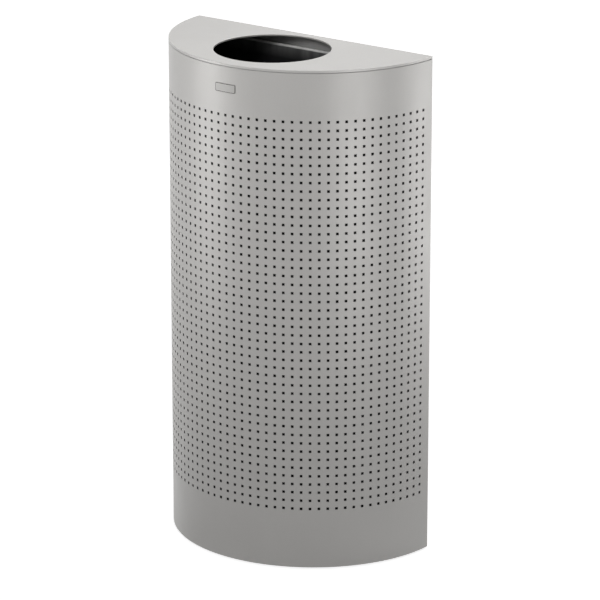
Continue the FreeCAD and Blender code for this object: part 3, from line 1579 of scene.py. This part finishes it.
@dataclass
class FrontPlate(Part):
    """Small blank plate, curved to the wall, with a sunk line round its face.

    Attributes:
        width: Width along the wall.
        height: Height of the plate.
        thickness: Thickness of the plate.
        glue: Thickness of the glue under it.
        corner: Radius of its corners.
        edge_round: Rounding of its front edge.
        line_inset: How far the sunk line keeps from the outline.
        line_width: Width of the sunk line.
        line_depth: Depth of the sunk line.
    """

    name = "blank_plate"
    node = "front_plate"
    body = Body.SHELL
    slot = Slot.PLATE

    width: float = 38.0 * MM
    height: float = 14.0 * MM
    thickness: float = 0.8 * MM
    glue: float = 0.2 * MM
    corner: float = 2.0 * MM
    edge_round: float = 0.35 * MM
    line_inset: float = 0.45 * MM
    line_width: float = 0.7 * MM
    line_depth: float = 0.2 * MM

    def finishes(self) -> tuple[Finish, ...]:
        """Brushed steel, and the dull line."""
        return PLATE_STEEL, HOLE_SHADE_AND_LINE_FILL

    def build(self) -> bpy.types.Object:
        """Builds the plate.

        Returns:
            The new piece.
        """
        skin = Skin()
        low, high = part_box(self.node)
        outline = PlateOutline(self.width, self.height, (low.z + high.z) / 2, self.corner, RADIUS)
        front = self.glue + self.thickness
        inner = self.line_inset + self.line_width
        sunk = front - self.line_depth
        groove = [
            Corner(inner, front),
            Corner(inner, sunk),
            Corner(self.line_inset, sunk),
            Corner(self.line_inset, front),
        ]
        edge = [
            Corner(self.line_inset, front),
            Corner(0.0, front, self.edge_round),
            Corner(0.0, self.glue),
            Corner(inner, self.glue),
        ]
        face = skin.sweep(outline, groove, finish=1)[0]
        back = skin.sweep(outline, edge)[1]
        stations = outline.stations()
        last = len(stations) - 1
        for here in range(len(stations) // 2 - 1):
            order = [here, last - here, last - here - 1, here + 1]
            for ring, up, turn in ((face, 1.0, order), (back, -1.0, order[::-1])):
                skin.face([ring[i] for i in turn], [stations[i].faced(0.0, up) for i in turn])
        return skin.piece(self.name)


@dataclass(frozen=True)
class KeptNodes:
    """Nodes of the frame that keep their solids and only get a finish.

    Attributes:
        nodes: Names of the nodes.
        finish: Their finish.
    """

    nodes: tuple[str, ...]
    finish: Finish

    def dress(self) -> None:
        """Gives every node its finish."""
        for node in self.nodes:
            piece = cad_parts[node]
            if not piece.material_slots:
                piece.data.materials.append(None)
            for slot in piece.material_slots:
                slot.material = self.finish.material()
            LOG.info("%s: dressed in %s", node, self.finish.name)


@dataclass(frozen=True)
class Lamp:
    """Soft square lamp with a limited beam.

    Attributes:
        name: Name of the lamp.
        bearing: Its direction from the bin, in degrees from the front to the right.
        distance: Its level distance from the middle of the bin.
        height: Its height above the floor.
        aim: Height that it faces in the middle of the bin.
        size: Side of the square.
        spread: Angle of the beam in degrees.
        power: Power in watts.
    """

    name: str
    bearing: float
    distance: float
    height: float
    aim: float
    size: float
    spread: float
    power: float

    def hang(self) -> None:
        """Adds the lamp to the scene."""
        light = bpy.data.lights.new(self.name, "AREA")
        light.shape = "SQUARE"
        light.size = self.size
        light.spread = math.radians(self.spread)
        light.energy = self.power
        turn = math.radians(self.bearing)
        place = Vector((self.distance * math.sin(turn), -self.distance * math.cos(turn), self.height))
        lamp = bpy.data.objects.new(self.name, light)
        lamp.location = place
        lamp.rotation_euler = (Vector((0.0, 0.0, self.aim)) - place).to_track_quat("-Z", "Y").to_euler()
        lamp.visible_camera = False
        bpy.context.scene.collection.objects.link(lamp)


@dataclass
class Studio:
    """Pale floor, white surroundings, soft lamps and the camera.

    Attributes:
        floor: Finish of the floor.
        floor_size: Side of the floor.
        floor_gap: How far the floor lies under the feet.
        ambient: Strength of the surroundings as light.
        azimuth: Camera's angle from the front to the right, in degrees.
        elevation: Camera's angle above the level, in degrees.
        distance: Camera's distance in radii of the bin.
        scale: Pixels to a radius of the bin in the picture.
        aside: How far the camera stands to the right of its aim, in radii.
        above: How far the camera stands above its aim, in radii.
        picture: Side of the picture in pixels.
        lamps: Lamps round the bin.
    """

    floor: Finish = PaleFloor("pale_floor", (0.5, 0.5, 0.5), 0.0, glow=0.85, fade=(0.5, 2.0))
    floor_size: float = 40.0
    floor_gap: float = 0.2 * MM
    ambient: float = 0.25
    azimuth: float = 36.5
    elevation: float = 17.7
    distance: float = 26.0
    scale: float = 144.2
    aside: float = 0.204
    above: float = -0.010
    picture: float = 600.0
    # Name, bearing, distance, height, aim, size, spread and power of each lamp.
    lamps: tuple[Lamp, ...] = (
        Lamp("key_lamp", -10.0, 1.4, 2.0, 0.95, 1.0, 50.0, 1.5),
        Lamp("left_lamp", -50.0, 1.4, 0.55, 0.7, 0.7, 60.0, 0.64),
        Lamp("fill_lamp", 70.0, 1.4, 0.5, 0.75, 0.7, 60.0, 0.53),
        Lamp("side_lamp", 130.0, 1.4, 0.45, 0.75, 0.8, 80.0, 0.87),
        Lamp("top_lamp", 180.0, 0.7, 2.3, 0.81, 0.9, 40.0, 1.0),
        Lamp("back_lamp", 180.0, 1.5, 1.9, 0.8, 1.2, 60.0, 1.8),
    )

    def lay_floor(self) -> None:
        """Lays the floor, which keeps the bin's shadow."""
        half = self.floor_size / 2
        corners = [(-half, -half, 0), (half, -half, 0), (half, half, 0), (-half, half, 0)]
        mesh = bpy.data.meshes.new("floor")
        mesh.from_pydata(corners, [], [(0, 1, 2, 3)])
        mesh.materials.append(self.floor.material())
        floor = bpy.data.objects.new("floor", mesh)
        floor.location.z = CAD_BOX[0].z - self.floor_gap
        bpy.context.scene.collection.objects.link(floor)

    def surround(self) -> None:
        """Sets white surroundings that light the bin at a plain level."""
        world = bpy.data.worlds.new("white_surroundings")
        world.use_nodes = True
        pad = NodePad(world.node_tree)
        lit = pad.add("Background", {"Color": WHITE, "Strength": self.ambient})
        seen = pad.add("Background", {"Color": WHITE})
        either = pad.add("MixShader", {0: pad.seen_rays(), 1: lit.outputs[0], 2: seen.outputs[0]})
        pad.end("OutputWorld", either)
        bpy.context.scene.world = world

    def stand_camera(self) -> None:
        """Stands the camera at the photograph's viewing angle."""
        side, rise = math.radians(self.azimuth), math.radians(self.elevation)
        away = Vector((math.sin(side) * math.cos(rise), -math.cos(side) * math.cos(rise), math.sin(rise)))
        right = Vector((math.cos(side), math.sin(side), 0.0))
        up = away.cross(right)
        aim = Vector((0.0, AXIS_Y - RADIUS / 2, TOP / 2))
        data = bpy.data.cameras.new("camera")
        data.lens = data.sensor_width * self.scale * self.distance / self.picture
        camera = bpy.data.objects.new("camera", data)
        camera.location = aim + RADIUS * (self.distance * away + self.aside * right + self.above * up)
        camera.rotation_euler = (-away).to_track_quat("-Z", "Y").to_euler()
        bpy.context.scene.collection.objects.link(camera)
        bpy.context.scene.camera = camera

    def set_up(self) -> None:
        """Sets up floor, surroundings, lamps, camera and plain colours."""
        self.lay_floor()
        self.surround()
        for lamp in self.lamps:
            lamp.hang()
        self.stand_camera()
        bpy.context.scene.view_settings.view_transform = "Standard"


def main() -> None:
    """Builds and dresses every piece."""
    logging.basicConfig(level=logging.INFO, format="%(message)s")
    for part in (PerforatedFront(), Lid(), Liner(), FrontPlate()):
        piece = part.build()
        part.dress(piece)
        part.seat(piece)
        LOG.info("%s: %d faces on %s", piece.name, len(piece.data.polygons), part.body.value)
    feet = tuple(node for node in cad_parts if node.startswith("foot_"))
    KeptNodes(("back_panel",), SHELL_PAINT).dress()
    KeptNodes(("top_ledge", "base_pan"), INNER_PAINT).dress()
    KeptNodes(feet, FOOT_RUBBER).dress()
    Studio().set_up()


if __name__ == "__main__":
    main()
